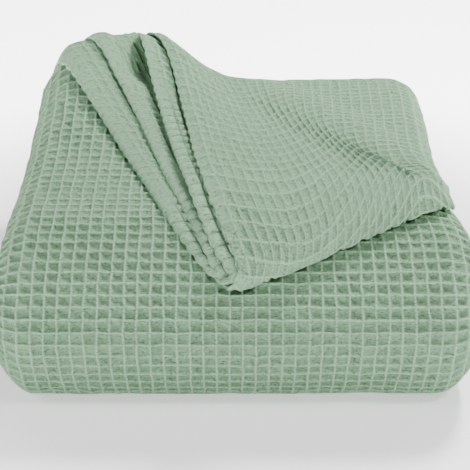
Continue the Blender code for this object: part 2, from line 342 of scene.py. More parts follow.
# ---- Waffle weave -----------------------------------------------------------------------
@dataclass(frozen=True)
class Weave:
    """The waffle cells: a grid of thin raised ridges round pits with sloping walls."""

    width: float = 0.0099
    length: float = 0.0095
    relief: float = 0.0034
    ridge_half: float = 0.020
    wall: float = 0.22
    bowl_share: float = 0.24
    bend: float = 0.032
    unevenness: float = 0.18
    fine: tuple[float, ...] = (0.035, 0.12, 0.36, 0.64, 0.88, 0.965)
    coarse: tuple[float, ...] = (0.0, 0.14, 0.5, 0.86)
    end_margin: float = 0.03
    # Painted shade tones: ridge top, ridge foot and pit; then pinch groove, its foot and a bulging
    # cell's centre.
    ridge_shade_tones: Point = (0.94, 0.45, 0.65)
    groove_shade_tones: Point = (0.0, 0.65, 0.9)
    depth_cells: tuple[int, int] = (97, 89)
    stray_cells: int = 128
    stray_limit: float = 1.8

    def flat(self, columns: float, rows: float) -> Pair:
        """Return the flat width and length of so many cells."""
        return columns * self.width, rows * self.length

    @staticmethod
    def grid(rows: np.ndarray, columns: np.ndarray) -> list[np.ndarray]:
        """Return the cells along and the cells across of a grid of stations."""
        return np.meshgrid(rows, columns, indexing="ij")

    def profile(self, place: np.ndarray) -> np.ndarray:
        """Return the height across one row of cells, highest on its ridges.

        Args:
            place: Places in cells.

        Returns:
            Heights from 0 to 1.
        """
        away = np.abs(place - np.round(place))
        ridge = 1.0 - ease((away - self.ridge_half) / self.wall)
        return (1.0 - self.bowl_share) * ridge + self.bowl_share * (1.0 - 2.0 * away)

    def tone(self, across: np.ndarray, along: np.ndarray, tones: Point) -> np.ndarray:
        """Return the cloth's painted shade tones, from those of a ridge, of its foot and of the
        pit.
        """
        away = np.minimum(np.abs(across - np.round(across)), np.abs(along - np.round(along)))
        return np.interp(away, self.fine[:3], tones)

    def height(self, across: np.ndarray, along: np.ndarray, seed: int) -> np.ndarray:
        """Return the relief at places given in cells, about the cloth's middle.

        Args:
            across: Places across the cloth, in cells.
            along: Places along the cloth, in cells.
            seed: Seed of the unevenness.

        Returns:
            Heights in metres.
        """
        top = np.maximum(self.profile(across), self.profile(along))
        dice = np.random.default_rng(seed).random(self.depth_cells) - 0.5
        row = np.floor(along).astype(int) % dice.shape[0]
        column = np.floor(across).astype(int) % dice.shape[1]
        depth = 1.0 + 2.0 * self.unevenness * dice[row, column]
        lift = 1.0 + self.unevenness * self.stray(across, along, seed + 1)[0]
        return self.relief * ((top - 1.0) * depth + 0.5 * lift)

    def stray(
        self, across: np.ndarray, along: np.ndarray, seed: int
    ) -> tuple[np.ndarray, np.ndarray]:
        """Return two smooth random fields that change from crossing to crossing of the ridges.

        Args:
            across: Places across the cloth, in cells.
            along: Places along the cloth, in cells.
            seed: Seed of the fields.

        Returns:
            The two fields, mostly between -1 and 1.
        """
        wrap = self.stray_cells
        dice = np.random.default_rng(seed).normal(size=(wrap, wrap, 2))
        dice = np.clip(dice, -self.stray_limit, self.stray_limit)
        row, column = np.floor(along).astype(int), np.floor(across).astype(int)
        down, right = ease(along - row)[..., None], ease(across - column)[..., None]
        upper, lower = (
            mix(dice[at % wrap, column % wrap], dice[at % wrap, (column + 1) % wrap], right)
            for at in (row, row + 1)
        )
        both = mix(upper, lower, down)
        return both[..., 0], both[..., 1]

    def strayed(
        self, across: np.ndarray, along: np.ndarray, seed: int
    ) -> tuple[np.ndarray, np.ndarray]:
        """Return cell places moved a little, so that no ridge runs quite straight."""
        aside, ahead = self.stray(across, along, seed)
        return across + self.bend * aside, along + self.bend * ahead

    def stations(
        self, first: float, last: float, fractions: tuple[float, ...] | None = None
    ) -> np.ndarray:
        """Return places that catch each cell's ridges and pit.

        Args:
            first: The first place, in cells.
            last: The last place.
            fractions: Places within each cell, else those of the full relief.

        Returns:
            The places, from first to last.
        """
        cells = np.arange(math.floor(first), math.ceil(last) + 1)
        places = (cells[:, None] + np.asarray(fractions or self.fine)[None, :]).ravel()
        margin = self.end_margin
        inner = places[(places > first + margin) & (places < last - margin)]
        return np.concatenate([[first], inner, [last]])


# ---- Finishes ---------------------------------------------------------------------------
class Graph:
    """A new material's nodes, with short ways to add and join them."""

    def __init__(self, name: str) -> None:
        """Start the material.

        Args:
            name: The material's name.
        """
        self.material = bpy.data.materials.new(name)
        self.material.use_nodes = True
        self.shader = self.material.node_tree.nodes["Principled BSDF"]

    def feed(self, node: bpy.types.Node, inputs: Inputs) -> None:
        """Set a node's inputs, or link them where a socket is given.

        Args:
            node: The node.
            inputs: A number, a colour or a socket for each input.
        """
        for place, value in inputs.items():
            if isinstance(value, bpy.types.NodeSocket):
                self.material.node_tree.links.new(value, node.inputs[place])
            else:
                node.inputs[place].default_value = value

    def add(self, kind: str, inputs: Inputs, operation: str = "") -> bpy.types.Node:
        """Add a node.

        Args:
            kind: The node's kind.
            inputs: A number, a colour or a socket for each input.
            operation: What a math node does.

        Returns:
            The node.
        """
        node = self.material.node_tree.nodes.new(kind)
        if operation:
            node.operation = operation
        self.feed(node, inputs)
        return node

    def noise(
        self, place: bpy.types.NodeSocket, scale: float, detail: float, roughness: float = 0.5
    ) -> bpy.types.NodeSocket:
        """Add a noise.

        Args:
            place: Where it is read.
            scale: Its scale.
            detail: Its finer octaves.
            roughness: How strong these are.

        Returns:
            The noise's value.
        """
        node = self.add("ShaderNodeTexNoise", {
            "Vector": place, "Scale": scale, "Detail": detail, "Roughness": roughness,
        })
        return node.outputs["Fac"]

    def ramp(
        self, value: bpy.types.NodeSocket, source: Pair, target: Pair, smooth: bool = True
    ) -> bpy.types.NodeSocket:
        """Map a value from one range to another.

        Args:
            value: The value.
            source: The range that it has.
            target: The range that it gets.
            smooth: Whether the ends are eased.

        Returns:
            The mapped value.
        """
        node = self.add("ShaderNodeMapRange", {
            "Value": value, "From Min": source[0], "From Max": source[1],
            "To Min": target[0], "To Max": target[1],
        })
        node.interpolation_type = "SMOOTHSTEP" if smooth else "LINEAR"
        return node.outputs["Result"]


@dataclass(frozen=True)
class CottonFinish:
    """Soft matte cotton yarn in sage green, with painted shade in its colour: darker pits, wall
    feet and grooves, and painted yarn shadows in short strokes.

    The cloth's own coordinates are in cells, so all scales are counts in a cell.
    """

    name: str = "sage_cotton_yarn"
    colour: Colour = (0.388, 0.676, 0.405, 1.0)
    # Painted shade colour, mixed in towards the pits, the ridges' foot and the grooves.
    pit_shade_colour: Colour = (0.140, 0.246, 0.149, 1.0)
    roughness: float = 0.95
    gloss: float = 0.2
    sheen: float = 0.25
    sheen_roughness: float = 0.5
    mottle: float = 0.22
    mottle_scale: float = 5.0
    mottle_detail: float = 5.0
    mottle_roughness: float = 0.75
    mottle_range: Pair = (0.3, 0.7)
    # Short strokes of painted shadow among the yarns.
    stroke_scale: Point = (3.0, 8.0, 1.0)
    stroke_detail: float = 3.0
    stroke_range: Pair = (0.32, 0.47)
    yarn_shadow_tone: float = 0.52
    wave_scale: float = 2.25
    wave_wobble: float = 1.5
    wave_detail: float = 2.0
    fuzz_scale: float = 28.0
    fuzz_detail: float = 4.0
    lump_share: float = 4.0
    yarn_bump: float = 0.9
    yarn_height: float = 0.0007

    def material(self) -> bpy.types.Material:
        """Make the cotton's material.

        Returns:
            The material, with its painted shade between two tones, mottling, painted yarn shadows
            in strokes, and yarns.
        """
        graph = Graph(self.name)
        layer = graph.add("ShaderNodeUVMap", {})
        layer.uv_map = CLOTH_LAYER
        cloth = layer.outputs["UV"]
        # Painted shade: the stored tone mixes the pit shade colour into the cloth's colour.
        relief = graph.add("ShaderNodeAttribute", {})
        relief.attribute_name = PAINTED_SHADE_LAYER
        relief_shade_mix = graph.add("ShaderNodeMix", {
            MIX_SHARE: relief.outputs["Fac"], MIX_LOW: self.pit_shade_colour, MIX_HIGH: self.colour,
        })
        relief_shade_mix.data_type = "RGBA"
        lumps = graph.noise(cloth, self.mottle_scale, self.mottle_detail, self.mottle_roughness)
        mottle = graph.ramp(lumps, self.mottle_range, (1.0 - self.mottle, 1.0 + self.mottle), False)
        # Short strokes of painted shadow among the yarns, multiplied into the colour with the
        # mottling.
        stretch = graph.add("ShaderNodeMapping", {"Vector": cloth, "Scale": self.stroke_scale})
        strokes = graph.noise(stretch.outputs["Vector"], 1.0, self.stroke_detail)
        yarn_shadows = graph.ramp(strokes, self.stroke_range, (self.yarn_shadow_tone, 1.0))
        tone = graph.add("ShaderNodeMath", {0: mottle, 1: yarn_shadows}, "MULTIPLY")
        toned = graph.add("ShaderNodeVectorMath", {
            0: relief_shade_mix.outputs[MIXED], "Scale": tone.outputs["Value"],
        }, "SCALE")
        graph.feed(graph.shader, {
            "Base Color": toned.outputs["Vector"],
            "Normal": self._yarn(graph, cloth, lumps),
            "Roughness": self.roughness,
            "Metallic": 0.0,
            "Specular IOR Level": self.gloss,
            "Sheen Weight": self.sheen,
            "Sheen Roughness": self.sheen_roughness,
        })
        return graph.material

    def _yarn(
        self, graph: Graph, cloth: bpy.types.NodeSocket, lumps: bpy.types.NodeSocket
    ) -> bpy.types.NodeSocket:
        """Add the bump of the fine yarns and of their fuzzy lumps.

        Args:
            graph: The material's nodes.
            cloth: The cloth's own coordinates.
            lumps: The coarser unevenness.

        Returns:
            The socket with the bumped normal.
        """
        waves = []
        for direction in ("X", "Y"):
            wave = graph.add("ShaderNodeTexWave", {
                "Vector": cloth, "Scale": self.wave_scale, "Distortion": self.wave_wobble,
                "Detail": self.wave_detail, "Detail Scale": self.wave_detail,
            })
            wave.bands_direction = direction
            waves.append(wave.outputs["Fac"])
        fuzz = graph.noise(cloth, self.fuzz_scale, self.fuzz_detail)
        crossed = graph.add("ShaderNodeMath", {0: waves[0], 1: waves[1]}, "MULTIPLY")
        summed = graph.add("ShaderNodeMath", {0: crossed.outputs["Value"], 1: fuzz}, "ADD")
        rough = graph.add("ShaderNodeMath", {
            0: lumps, 1: self.lump_share, 2: summed.outputs["Value"],
        }, "MULTIPLY_ADD")
        bump = graph.add("ShaderNodeBump", {
            "Height": rough.outputs["Value"],
            "Strength": self.yarn_bump,
            "Distance": self.yarn_height,
        })
        return bump.outputs["Normal"]


@dataclass(frozen=True)
class FloorFinish:
    """Plain pale studio floor with a faint gloss, lit through from below away from the blanket."""

    name: str = "pale_floor"
    colour: Colour = (0.92, 0.92, 0.92, 1.0)
    roughness: float = 0.25
    glow: Pair = (0.8, 5.5)
    glow_reach: Pair = (0.22, 0.58)

    def material(self) -> bpy.types.Material:
        """Make the floor's material.

        Returns:
            The material.
        """
        graph = Graph(self.name)
        place = graph.add("ShaderNodeTexCoord", {})
        away = graph.add("ShaderNodeVectorMath", {0: place.outputs["Object"]}, "LENGTH")
        graph.feed(graph.shader, {
            "Base Color": self.colour,
            "Roughness": self.roughness,
            "Emission Color": self.colour,
            "Emission Strength": graph.ramp(away.outputs["Value"], self.glow_reach, self.glow),
        })
        return graph.material


# ---- Sheets of cloth --------------------------------------------------------------------
@dataclass
class ClothSheet:
    """A thin closed sheet of waffle cloth over a grid of middle points.

    The grid runs from the back towards the front in its rows, and left to right in its
    columns, so its upper face is the outer one of the stack.
    """

    name: str
    points: np.ndarray
    across: np.ndarray
    along: np.ndarray
    weave: Weave
    flat: Pair
    amount: Values = 1.0
    pillow: Values = 0.0
    relief_rows: np.ndarray | None = None
    area: float | None = None
    round_rows: tuple[bool, bool] = (False, False)
    thickness: float = 0.0017
    # Painted shade tone of cloth without relief.
    plain_shade_tone: float = 0.74
    sharp_angle: float = 80.0
    seed: int = 7

    def build(self, material: bpy.types.Material) -> bpy.types.Object:
        """Args:
            material: The cloth's material.

        Returns:
            The finished piece.
        """
        normals = self._normals()
        relief = self._relief()
        middle = self.points + normals * relief[..., None]
        half = self.thickness / 2.0
        upper, under = middle + normals * half, middle - normals * half
        index = np.arange(relief.size).reshape(relief.shape)
        border = self._border(index)
        count = relief.size
        rim = 2 * count + np.arange(len(border))
        corners = index[:-1, :-1], index[1:, :-1], index[1:, 1:], index[:-1, 1:]
        faces = np.concatenate([
            self._quads(*corners),
            self._quads(corners[0], corners[3], corners[2], corners[1]) + count,
            self._band(border, rim),
            self._band(rim, border + count),
        ])
        vertices = np.concatenate([
            upper.reshape(-1, 3), under.reshape(-1, 3), self._rim(middle, half),
        ])
        mesh = bpy.data.meshes.new(self.name)
        mesh.from_pydata(vertices.tolist(), [], faces.tolist())
        mesh.validate()
        self._layers(mesh, border)
        mesh.materials.append(material)
        mesh.shade_smooth()
        mesh.set_sharp_from_angle(angle=math.radians(self.sharp_angle))
        piece = bpy.data.objects.new(self.name, mesh)
        bpy.context.scene.collection.objects.link(piece)
        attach(piece, BODY)
        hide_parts(NODE)
        return piece

    @property
    def _rows(self) -> np.ndarray:
        """Return the cells along that the relief follows."""
        return self.along if self.relief_rows is None else self.relief_rows

    def _normals(self) -> np.ndarray:
        """Return unit normals of the smooth middle surface."""
        normals = np.cross(np.gradient(self.points, axis=0), np.gradient(self.points, axis=1))
        return normals / np.maximum(np.linalg.norm(normals, axis=-1, keepdims=True), TINY)

    def _relief(self) -> np.ndarray:
        """Return each point's height over the middle surface."""
        height = self.weave.height(self.across, self._rows, self.seed)
        return height * self.amount * (1.0 - 2.0 * self.pillow)

    def _rim(self, middle: np.ndarray, half: float) -> np.ndarray:
        """Return the border's points, pushed out where the cloth's edge is rounded.

        Args:
            middle: The sheet's displaced middle points.
            half: Half of the cloth's thickness.

        Returns:
            The border's points, in the border's order.
        """
        out = np.zeros_like(middle)
        out[:, 0] += middle[:, 0] - middle[:, 1]
        out[:, -1] += middle[:, -1] - middle[:, -2]
        for rounded, end, inner in zip(self.round_rows, (0, -1), (1, -2)):
            out[end] = out[end] + middle[end] - middle[inner] if rounded else 0.0
        length = np.maximum(np.linalg.norm(out, axis=-1, keepdims=True), TINY)
        return self._border(middle + out / length * half)

    @staticmethod
    def _border(grid: np.ndarray) -> np.ndarray:
        """Return a grid's border, once round, against the clock seen from above."""
        return np.concatenate([grid[:-1, 0], grid[-1, :-1], grid[:0:-1, -1], grid[0, :0:-1]])

    @staticmethod
    def _quads(*corners: np.ndarray) -> np.ndarray:
        """Return faces from arrays of corners."""
        return np.stack([corner.ravel() for corner in corners], axis=-1)

    @staticmethod
    def _band(upper: np.ndarray, lower: np.ndarray) -> np.ndarray:
        """Return the faces of a closed band between two loops."""
        return np.stack([upper, lower, np.roll(lower, -1), np.roll(upper, -1)], axis=-1)

    def _layers(self, mesh: bpy.types.Mesh, border: np.ndarray) -> None:
        """Store the cloth's coordinates and its painted shade tone on the mesh.

        Args:
            mesh: The sheet's mesh.
            border: The border's places in the grid.
        """
        weave = self.weave
        ridged, grooved = (
            weave.tone(self.across, self._rows, tones)
            for tones in (weave.ridge_shade_tones, weave.groove_shade_tones)
        )
        amount = np.clip(np.abs(self.amount), 0.0, 1.0)
        # Painted shade tone, fading to the plain tone where the relief fades.
        tone = mix(self.plain_shade_tone, mix(ridged, grooved, self.pillow), amount).ravel()
        stored = mesh.attributes.new(PAINTED_SHADE_LAYER, "FLOAT", "POINT")
        tone = np.concatenate([tone, tone, tone[border]])
        stored.data.foreach_set("value", tone.astype(np.float32))
        cells = np.stack([self.across.ravel(), self.along.ravel()], axis=-1)
        cells = np.concatenate([cells, cells, cells[border]])
        corners = np.empty(len(mesh.loops), dtype=np.int32)
        mesh.loops.foreach_get("vertex_index", corners)
        layer = mesh.uv_layers.new(name=CLOTH_LAYER)
        layer.data.foreach_set("uv", cells[corners].astype(np.float32).ravel())


# ---- The pack ---------------------------------------------------------------------------
@dataclass
class Pack:
    """The nested folds, with their outer ply wrapped over the top, the front and the floor."""

    stack: Stack
    weave: Weave
    columns: int = 37
    hidden_columns: int = 9
    floor_draw_from: float = 3.6
    top_draw_to: float = 0.08
    top_draw: float = 0.009
    inset_stagger: float = 0.002
    inset_turn: float = 1.9
    back_stagger: float = 0.003
    stagger_turn: float = 2.4
    sway: float = 0.0010
    sway_cells: Pair = (0.6, 8.0)
    sway_turn: float = 1.7
    sway_to: float = 3.2
    sway_fade: float = 0.6
    shown_to_x: float = -0.040
    top_until: float = 0.93
    floor_from: float = 3.02
    floor_fade: float = 6.0
    floor_loss: float = 0.85
    floor_stations: Pair = (0.0, 0.5)
    front_relief: float = 1.15
    front_grow: float = 8.0
    fold_relief: float = 0.6
    core_ways: tuple[float, ...] = (
        0.05, 0.15, 0.3, 0.5, 0.7, 0.85, 1.0, 1.2, 1.4, 1.6,
        1.8, 2.0, 2.25, 2.5, 2.75, 3.0, 3.3, 3.6, 3.85, 3.96,
    )
    turn_steps: int = 9
    wrap_seed: int = 7
    core_seed: int = 9

    def build(self, material: bpy.types.Material) -> list[bpy.types.Object]:
        """Build the pack's sheets and return the pieces, the outer ply first."""
        return [*self._wrap(material), self._core(material)]

    def _inset(self, way: np.ndarray) -> np.ndarray:
        """Return how far the outer ply's ends lie inside the stack's ends.

        Args:
            way: Way along the pack's section.

        Returns:
            The inset at each place.
        """
        top = self.top_draw * ease(1.0 - way / self.top_draw_to)
        floor = ease((way - self.floor_draw_from) / (LAST_WAY - self.floor_draw_from))
        return top + self.stack.inner_end_inset * floor

    def _wrap(self, material: bpy.types.Material) -> list[bpy.types.Object]:
        """Build the outer ply as three sheets that meet in the middle of a pit.

        Args:
            material: The cloth's material.

        Returns:
            The pieces of the top, the front and the floor.
        """
        stack, weave, wide = self.stack, self.weave, float(self.columns)
        size = stack.fold_size(0)
        ways, lengths = stack.lengths(size)
        top_end, front_end = (
            math.floor(np.interp(way, ways, lengths) / weave.length) + 0.5
            for way in (self.top_until, self.floor_from)
        )
        shown = math.ceil((self.shown_to_x - stack.left_end) / weave.width) + 0.5
        hidden = np.linspace(shown + 1.0, wide, self.hidden_columns)
        top_columns = np.concatenate([weave.stations(0.0, shown), hidden])
        front_columns = weave.stations(0.0, wide)
        plain = self.floor_stations
        floor_columns = weave.stations(0.0, wide, plain)
        stretches = (
            ("pack_top", 0.0, top_end, top_columns, weave.fine),
            ("pack_front", top_end, front_end, front_columns, weave.fine),
            ("pack_floor", front_end, lengths[-1] / weave.length, floor_columns, plain),
        )
        pieces = []
        for name, first, last, columns, fractions in stretches:
            along, across = weave.grid(weave.stations(first, last, fractions), columns)
            aside, ahead = weave.strayed(across, along, self.wrap_seed)
            way = np.interp(ahead * weave.length, lengths, ways)
            amount = mix(1.0, self.front_relief, ease((along - top_end) / self.front_grow))
            amount *= 1.0 - self.floor_loss * ease((along - front_end) / self.floor_fade)
            if name == "pack_top":
                amount *= 1.0 - ease(across - shown)
            sheet = ClothSheet(
                name, self._points(way, size, aside), across, along, weave,
                flat=(stack.back_right_end - stack.left_end, (last - first) * weave.length),
                amount=amount, seed=self.wrap_seed,
            )
            pieces.append(sheet.build(material))
        return pieces

    def _points(self, way: np.ndarray, size: float, across: np.ndarray) -> np.ndarray:
        """Return the middle points of the outer ply.

        Args:
            way: Way along the pack's section.
            size: Size of the section.
            across: Cells across.

        Returns:
            The settled points.
        """
        stack = self.stack
        y, z = stack.outline(way, size)
        inset = self._inset(way)
        x = mix(stack.left_end + inset, stack.right_end(y) - inset, across / self.columns)
        free = ease(way) * ease((self.sway_to - way) / self.sway_fade)
        uneven = wander(across * self.sway_cells[0], way * self.sway_cells[1], self.sway_turn)
        swell = 1.0 + self.sway / stack.core_height * uneven * free
        return stack.settle(x, stack.core_front + (y - stack.core_front) * swell, z)

    def _core(self, material: bpy.types.Material) -> bpy.types.Object:
        """Build the nested folds inside the outer ply as one long sheet.

        Args:
            material: The cloth's material.

        Returns:
            The piece.
        """
        stack, weave = self.stack, self.weave
        places: list[tuple[float, float, int, float, float]] = []
        for fold in range(1, stack.nested_folds):
            backwards = bool(fold % 2)
            start = LAST_WAY if backwards else 0.0
            places += self._turn(fold - 1, fold, start)
            ways = reversed(self.core_ways) if backwards else self.core_ways
            places += [(way, stack.fold_size(fold), fold, 0.0, 0.0) for way in ways]
        places.append((LAST_WAY - start, stack.fold_size(fold), fold, 0.0, 0.0))
        way, size, fold, behind, turning = np.array(places).T
        y, z = stack.outline(way, size)
        y = y + behind
        steps = np.hypot(np.diff(y), np.diff(z))
        rows = np.concatenate([[0.0], np.cumsum(steps)]) / weave.length
        columns = weave.stations(0.0, float(self.columns), weave.coarse)
        along, across = weave.grid(rows, columns)
        inset = stack.inner_end_inset + self.inset_stagger * np.sin(self.inset_turn * fold)
        left = (stack.left_end + inset)[:, None]
        right = (stack.right_end(y) - inset)[:, None]
        aside, _ = weave.strayed(across, along, self.core_seed)
        points = stack.settle(mix(left, right, aside / self.columns), y[:, None], z[:, None])
        outside = np.where(way > LAST_WAY / 2.0, 1.0, -1.0)
        width = stack.back_right_end - stack.left_end - 2.0 * stack.inner_end_inset
        return ClothSheet(
            "pack_folds", points, across, along, weave,
            flat=(width, float(rows[-1]) * weave.length),
            amount=self.fold_relief * (turning * outside)[:, None] + 0.0 * across,
            relief_rows=np.floor(along) + 0.5, seed=self.core_seed,
        ).build(material)

    def _turn(
        self, fold: int, next_fold: int, way: float
    ) -> list[tuple[float, float, int, float, float]]:
        """Return the places of the back turn that joins two folds.

        Args:
            fold: The fold that it leaves.
            next_fold: The fold that it joins.
            way: The end of the section where it lies.

        Returns:
            Way, size, fold, reach to the back and share of the ribs for each row.
        """
        stack = self.stack
        start, end = stack.fold_size(fold), stack.fold_size(next_fold)
        places = []
        for angle in np.radians(np.linspace(0.0, 180.0, self.turn_steps)):
            reach = abs(start - end) * stack.core_height / 2.0 * math.sin(angle)
            reach += self.back_stagger * math.sin(self.stagger_turn * fold + way)
            size = mix(start, end, half_turn(angle))
            places.append((way, size, next_fold, reach, math.sqrt(max(math.sin(angle), 0.0))))
        return places


# ---- The bundle -------------------------------------------------------------------------
@dataclass
class Bundle:
    """The last four plies, laid slantwise over the pack."""

    stack: Stack
    weave: Weave
    fold_lean: float = 0.009
    inner_fold_back: float = 0.006
    fold_bulge: float = 0.0075
    inner_bulge: float = 0.0045
    inner_turn_cells: float = 2.0
    inner_mean_width: float = 0.29
    fold_right_y: float = -0.094
    lift_fade: float = 2.8
    right_insets: tuple[float, ...] = (0.008, 0.012, 0.012, 0.003)
    joining_inset: float = 0.009
    top_inset: Table = (
        # share  inset of the top ply's right end
        (0.00, -0.004),
        (0.30, -0.002),
        (0.60, 0.003),
        (0.85, 0.008),
        (1.00, 0.013),
    )
    corner_out: float = 0.007
    edges: tuple[Table, ...] = (
        (
            # share    x      lift
            (0.00, -0.184, 0.000),
            (0.05, -0.178, 0.001),
            (0.14, -0.160, 0.003),
            (0.30, -0.129, 0.003),
            (0.42, -0.107, 0.002),
            (0.60, -0.079, 0.001),
            (0.75, -0.059, 0.000),
            (0.85, -0.043, 0.000),
            (0.93, -0.026, 0.000),
            (1.00, -0.006, 0.000),
        ),
        (
            (0.00, -0.158, 0.000),
            (0.05, -0.146, 0.002),
            (0.14, -0.124, 0.007),
            (0.30, -0.098, 0.006),
            (0.42, -0.081, 0.004),
            (0.60, -0.062, 0.002),
            (0.75, -0.046, 0.000),
            (0.92, -0.023, 0.000),
            (1.00, -0.011, 0.000),
        ),
        (
            (0.00, -0.092, 0.011),
            (0.05, -0.093, 0.013),
            (0.14, -0.085, 0.015),
            (0.42, -0.064, 0.009),
            (0.75, -0.038, 0.003),
            (0.92, -0.017, 0.000),
            (1.00, -0.003, 0.000),
        ),
        (
            (0.00, -0.087, 0.017),
            (0.05, -0.077, 0.018),
            (0.14, -0.063, 0.018),
            (0.42, -0.045, 0.012),
            (0.75, -0.026, 0.004),
            (1.00, 0.003, 0.000),
        ),
    )
    front_fold: Table = (
        # x     along
        (-0.020, 0.321),
        (0.010, 0.313),
        (0.050, 0.298),
        (0.110, 0.270),
        (0.150, 0.249),
        (0.175, 0.236),
        (0.194, 0.215),
    )
    columns: tuple[int, ...] = (35, 31, 26, 28)
    rows: tuple[int, ...] = (32, 31, 29, 30)
    shown_columns: float = 6.0
    hidden_columns: int = 15
    hidden_fade: Pair = (1.0, 1.5)
    strip_relief: tuple[float, ...] = (0.50, 0.52, 0.9, 0.75)
    strip_edge: Pair = (0.35, 1.4)
    flap_relief: float = 0.78
    tip_relief: float = 0.8
    edge_relief: float = 0.5
    pillow_from: tuple[float, ...] = (0.62, 0.62, 0.22, 1.0)
    pillow_grow: float = 0.2
    edge_cell: float = 0.4
    roll_reach: Pair = (0.014, 0.006)
    roll_drop: Pair = (0.0055, 0.0042)
    roll_round: float = 0.98
    under_roll: float = 0.6
    right_roll: Pair = (0.008, 0.026)
    right_drop: Pair = (0.004, 0.009)
    bead: float = 0.0018
    bead_cells: float = 1.2
    hollow_x: float = -0.092
    hollow_reach: float = 0.036
    hollow_dip: float = 0.015
    hollow_share: float = 0.14
    hollow_spread: float = 0.125
    lowest_dip: float = 0.6
    close_to: float = 0.07
    close: Table = (
        # x     rise of the second ply's back end
        (-0.160, -0.004),
        (-0.130, -0.002),
        (-0.112, 0.009),
        (-0.096, 0.019),
        (-0.070, 0.019),
        (-0.045, 0.009),
        (-0.020, 0.000),
    )
    turn_steps: int = 11
    back_turn_cells: float = 1.5
    back_bulge: float = 0.0045
    flap_left: Pair = (-0.080, 0.001)
    crest_from: float = 0.3
    crest_along: float = 0.275
    crest_bend: float = 1.1
    crest_soft: float = 0.03
    crest_clear: float = 0.022
    crest_least: float = 0.01
    crest_cells_left: float = 1.5
    column_draw: float = 0.85
    end_power: int = 3
    corner_power: int = 6
    path_steps: int = 120
    flap_rows: Table = (
        # share across   rows from the back to the fold
        (0.00, 23.4),
        (0.30, 21.6),
        (0.50, 22.6),
        (0.70, 25.4),
        (0.85, 26.8),
        (1.00, 25.2),
    )
    fold_cells: float = 2.8
    crease: float = 0.55
    fold_skew: float = 0.003
    skew_reach: float = 4.0
    rim_reach: float = 0.007
    rim_pull: float = 0.0035
    tuck: float = 0.0018
    lowest_seed: int = 11
    inner_seed: int = 13
    flap_seed: int = 23

    def build(self, material: bpy.types.Material) -> list[bpy.types.Object]:
        """Build the bundle's sheets.

        Args:
            material: The cloth's material.

        Returns:
            The pieces, lowest ply first.
        """
        sheets = (
            self._joining_turn(), self._lowest(), self._inner(), self._back_turn(), self._flap(),
        )
        return [sheet.build(material) for sheet in sheets]

    def _height(self, ply: Ply) -> float:
        """Return the height of a ply's middle over the pack."""
        return self.stack.bundle_first + self.stack.bundle_pitch * ply.value

    def _behind(self, ply: Ply) -> float:
        """Return how far behind the front fold's line a ply turns."""
        backs = (0.0, self.inner_fold_back, self.inner_fold_back, self.fold_lean)
        return backs[ply.value]

    def _left(self, share: Values, ply: Ply) -> np.ndarray:
        """Return x of a ply's left edge."""
        return read_table(self.edges[ply.value], share, 1)

    def _right(self, share: Values, ply: Ply) -> np.ndarray:
        """Return x of a ply's right end.

        Args:
            share: Share of the way from the back to the front fold.
            ply: The ply.

        Returns:
            The x of each place.
        """
        y = mix(self.stack.pack_back, self.fold_right_y, share)
        top = ply is Ply.TOP
        inset = read_table(self.top_inset, share, 1) if top else self.right_insets[ply.value]
        return self.stack.right_end(y) - inset

    def _points(
        self,
        ply: Ply,
        share: np.ndarray,
        x: np.ndarray,
        turn: Values = 0.0,
        other: Ply | None = None,
        outward: Values = 0.0,
        raised: Values = 0.0,
    ) -> np.ndarray:
        """Return middle points of a ply, or of the turn that joins it to another.

        Args:
            ply: The ply.
            share: Share of the way from the back to the front fold.
            x: Places across.
            turn: 0 on the ply, 1 on the other one.
            other: The ply at the turn's far end.
            outward: How far the turn stands out.
            raised: Lift on top of the ply's own.

        Returns:
            The settled points.
        """
        end = other or ply
        left, right = (
            mix(side(share, ply), side(share, end), turn) for side in (self._left, self._right)
        )
        lift = mix(*(read_table(self.edges[one.value], share, 2) for one in (ply, end)), turn)
        behind = mix(self._behind(ply), self._behind(end), turn)
        over = (x - left) / (right - left)
        along = share * (read_table(self.front_fold, x, 1) - behind) + outward
        height = mix(self._height(ply), self._height(end), turn)
        height = height + lift * (1.0 - ease(over * self.lift_fade)) + raised
        size = 1.0 + height / self.stack.half_height
        y, z = self.stack.outline(self.stack.way_at(along), size)
        return self.stack.settle(x, y, z)

    def _roll(self, inside: np.ndarray, share: Values) -> np.ndarray:
        """Return how far a ply's left edge rolls down, rounded as a soft edge is.

        Args:
            inside: Distance inside the edge.
            share: Share of the way from the back to the front fold.

        Returns:
            The drop, as a negative lift.
        """
        away = np.clip(1.0 - inside / mix(*self.roll_reach, share), 0.0, 1.0)
        arc = 1.0 - np.sqrt(1.0 - self.roll_round * away * away)
        return -mix(*self.roll_drop, share) * arc / (1.0 - math.sqrt(1.0 - self.roll_round))

    def _beads(self, across: np.ndarray, along: np.ndarray) -> np.ndarray:
        """Return how far the left edge bulges between the ridges of the rows."""
        bulge = np.abs(np.sin(math.pi * along)) * ease(1.0 - across / self.bead_cells)
        return -self.bead * bulge

    def _ply_grid(
        self,
        plies: tuple[Ply, Ply],
        along: np.ndarray,
        across: np.ndarray,
        share: np.ndarray,
        turn: np.ndarray,
        seed: int,
    ) -> tuple[np.ndarray, np.ndarray]:
        """Return x and the edge's roll over a grid of cells.

        Args:
            plies: The ply, and the one at the far end of its turn.
            along: Cells along.
            across: Cells across.
            share: Share of the way to the front fold.
            turn: 0 on the ply, 1 on the other one.
            seed: Seed of the unevenness.

        Returns:
            The x and the lift of each place.
        """
        aside, _ = self.weave.strayed(across, along, seed)
        aside = mix(across, aside, ease(across)) + self.edge_cell * ease(across)
        left, right = (
            mix(*(side(share, ply) for ply in plies), turn) for side in (self._left, self._right)
        )
        x = mix(left, right, aside / self.columns[plies[0].value])
        return x + self._beads(across, along), self._roll(x - left, share)

